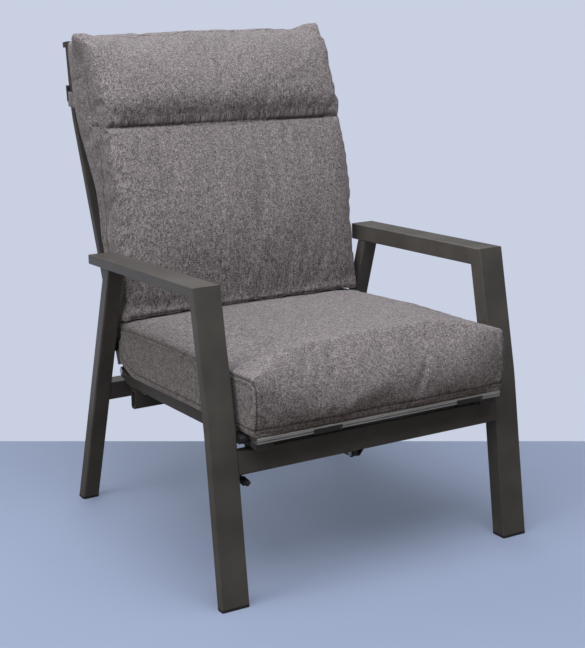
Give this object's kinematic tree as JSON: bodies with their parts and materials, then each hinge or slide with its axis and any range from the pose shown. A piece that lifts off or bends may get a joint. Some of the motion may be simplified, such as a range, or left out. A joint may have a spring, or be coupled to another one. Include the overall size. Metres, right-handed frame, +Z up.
{
  "type": "reclining lounge chair",
  "caption": "Reclining patio lounge chair with tapered metal arm frames, thick woven cushions, a tilting back that carries the seat forward, and a gas spring with a release lever.",
  "frame": {"origin": "on the floor under the middle of the chair's bounding box", "axes": "+Z up, -Y toward the front of the chair, +X toward the sitter's left hand"},
  "size_m": [0.724, 0.8637, 1.036],
  "materials": {
    "frame_paint": "matte fine-texture powder coat, anthracite",
    "rail_paint": "matte fine-texture powder coat, anthracite",
    "cap_plastic": "dark grey moulded plastic",
    "bar_metal": "pale satin aluminium, clear coated",
    "black_plastic": "black moulded plastic",
    "black_steel": "black satin paint",
    "bright_steel": "plated steel, satin",
    "woven_fabric": "melange plain weave, grey-brown",
    "sling_fabric": "coated open mesh, dark grey",
    "black_webbing": "black webbing and elastic"
  },
  "bodies": {
    "base": {"left_armrest": "frame_paint", "right_armrest": "frame_paint", "left_front_leg": "frame_paint", "right_front_leg": "frame_paint", "left_rear_leg": "frame_paint", "right_rear_leg": "frame_paint", "left_arm_cap": "black_plastic", "right_arm_cap": "black_plastic", "left_front_foot": "black_plastic", "right_front_foot": "black_plastic", "left_rear_foot": "black_plastic", "right_rear_foot": "black_plastic", "left_seat_guide": "black_plastic", "right_seat_guide": "black_plastic", "front_rail": "frame_paint", "rear_rail": "frame_paint", "guide_screws": "bright_steel", "glide_pads": "black_plastic", "pivot_bolts": "bright_steel", "pivot_washers": "bright_steel", "pivot_inserts": "bright_steel", "spring_bracket": "black_steel", "front_spring_pin": "bright_steel", "release_head": "black_plastic", "gas_rod": "bright_steel", "lever_bracket": "black_steel"},
    "seat": {"left_seat_rail": "rail_paint", "right_seat_rail": "rail_paint", "left_seat_cap": "cap_plastic", "right_seat_cap": "cap_plastic", "left_hinge_fork": "black_steel", "right_hinge_fork": "black_steel", "front_bar": "bar_metal", "cross_tube": "rail_paint", "cross_bolts": "bright_steel", "seat_sling": "sling_fabric", "seat_cushion": "woven_fabric", "seat_straps": "black_webbing", "gas_cylinder": "black_steel", "spring_hanger": "black_steel", "rear_spring_pin": "bright_steel"},
    "backrest": {"left_back_rail": "rail_paint", "right_back_rail": "rail_paint", "left_pivot_plate": "black_steel", "right_pivot_plate": "black_steel", "back_top_bar": "rail_paint", "back_lower_bar": "rail_paint", "back_sling": "sling_fabric", "back_cushion": "woven_fabric", "headband": "black_webbing", "headband_tabs": "woven_fabric", "hinge_tongues": "black_steel", "hinge_pins": "bright_steel"},
    "lever": {"release_lever": "black_plastic", "release_shaft": "bright_steel", "release_arm": "black_steel"},
    "valve": {"valve_pin": "bright_steel"}
  },
  "joints": [
    {"name": "recline", "type": "hinge", "parent": "base", "child": "backrest", "pos_m": [0, 0.15779, 0.405], "axis": [-1, 0, 0], "range_deg": [0, 30]},
    {"name": "seat_slide", "type": "slide", "parent": "base", "child": "seat", "axis": [0, -0.9998, 0.0209], "range_m": [0, 0.04966]},
    {"name": "lever_squeeze", "type": "hinge", "parent": "base", "child": "lever", "pos_m": [-0.288, -0.334, 0.236], "axis": [-1, 0, 0], "range_deg": [0, 5], "stiffness_Nm_per_rad": 3, "springref_deg": -5.73},
    {"name": "valve_slide", "type": "slide", "parent": "base", "child": "valve", "axis": [0, -0.0209, -0.9998], "range_m": [0, 0.0036]}
  ],
  "couplings": [
    {"joint": "seat_slide", "follows": "recline", "m_per_rad": 0.094832},
    {"joint": "valve_slide", "follows": "lever_squeeze", "m_per_rad": 0.041}
  ]
}
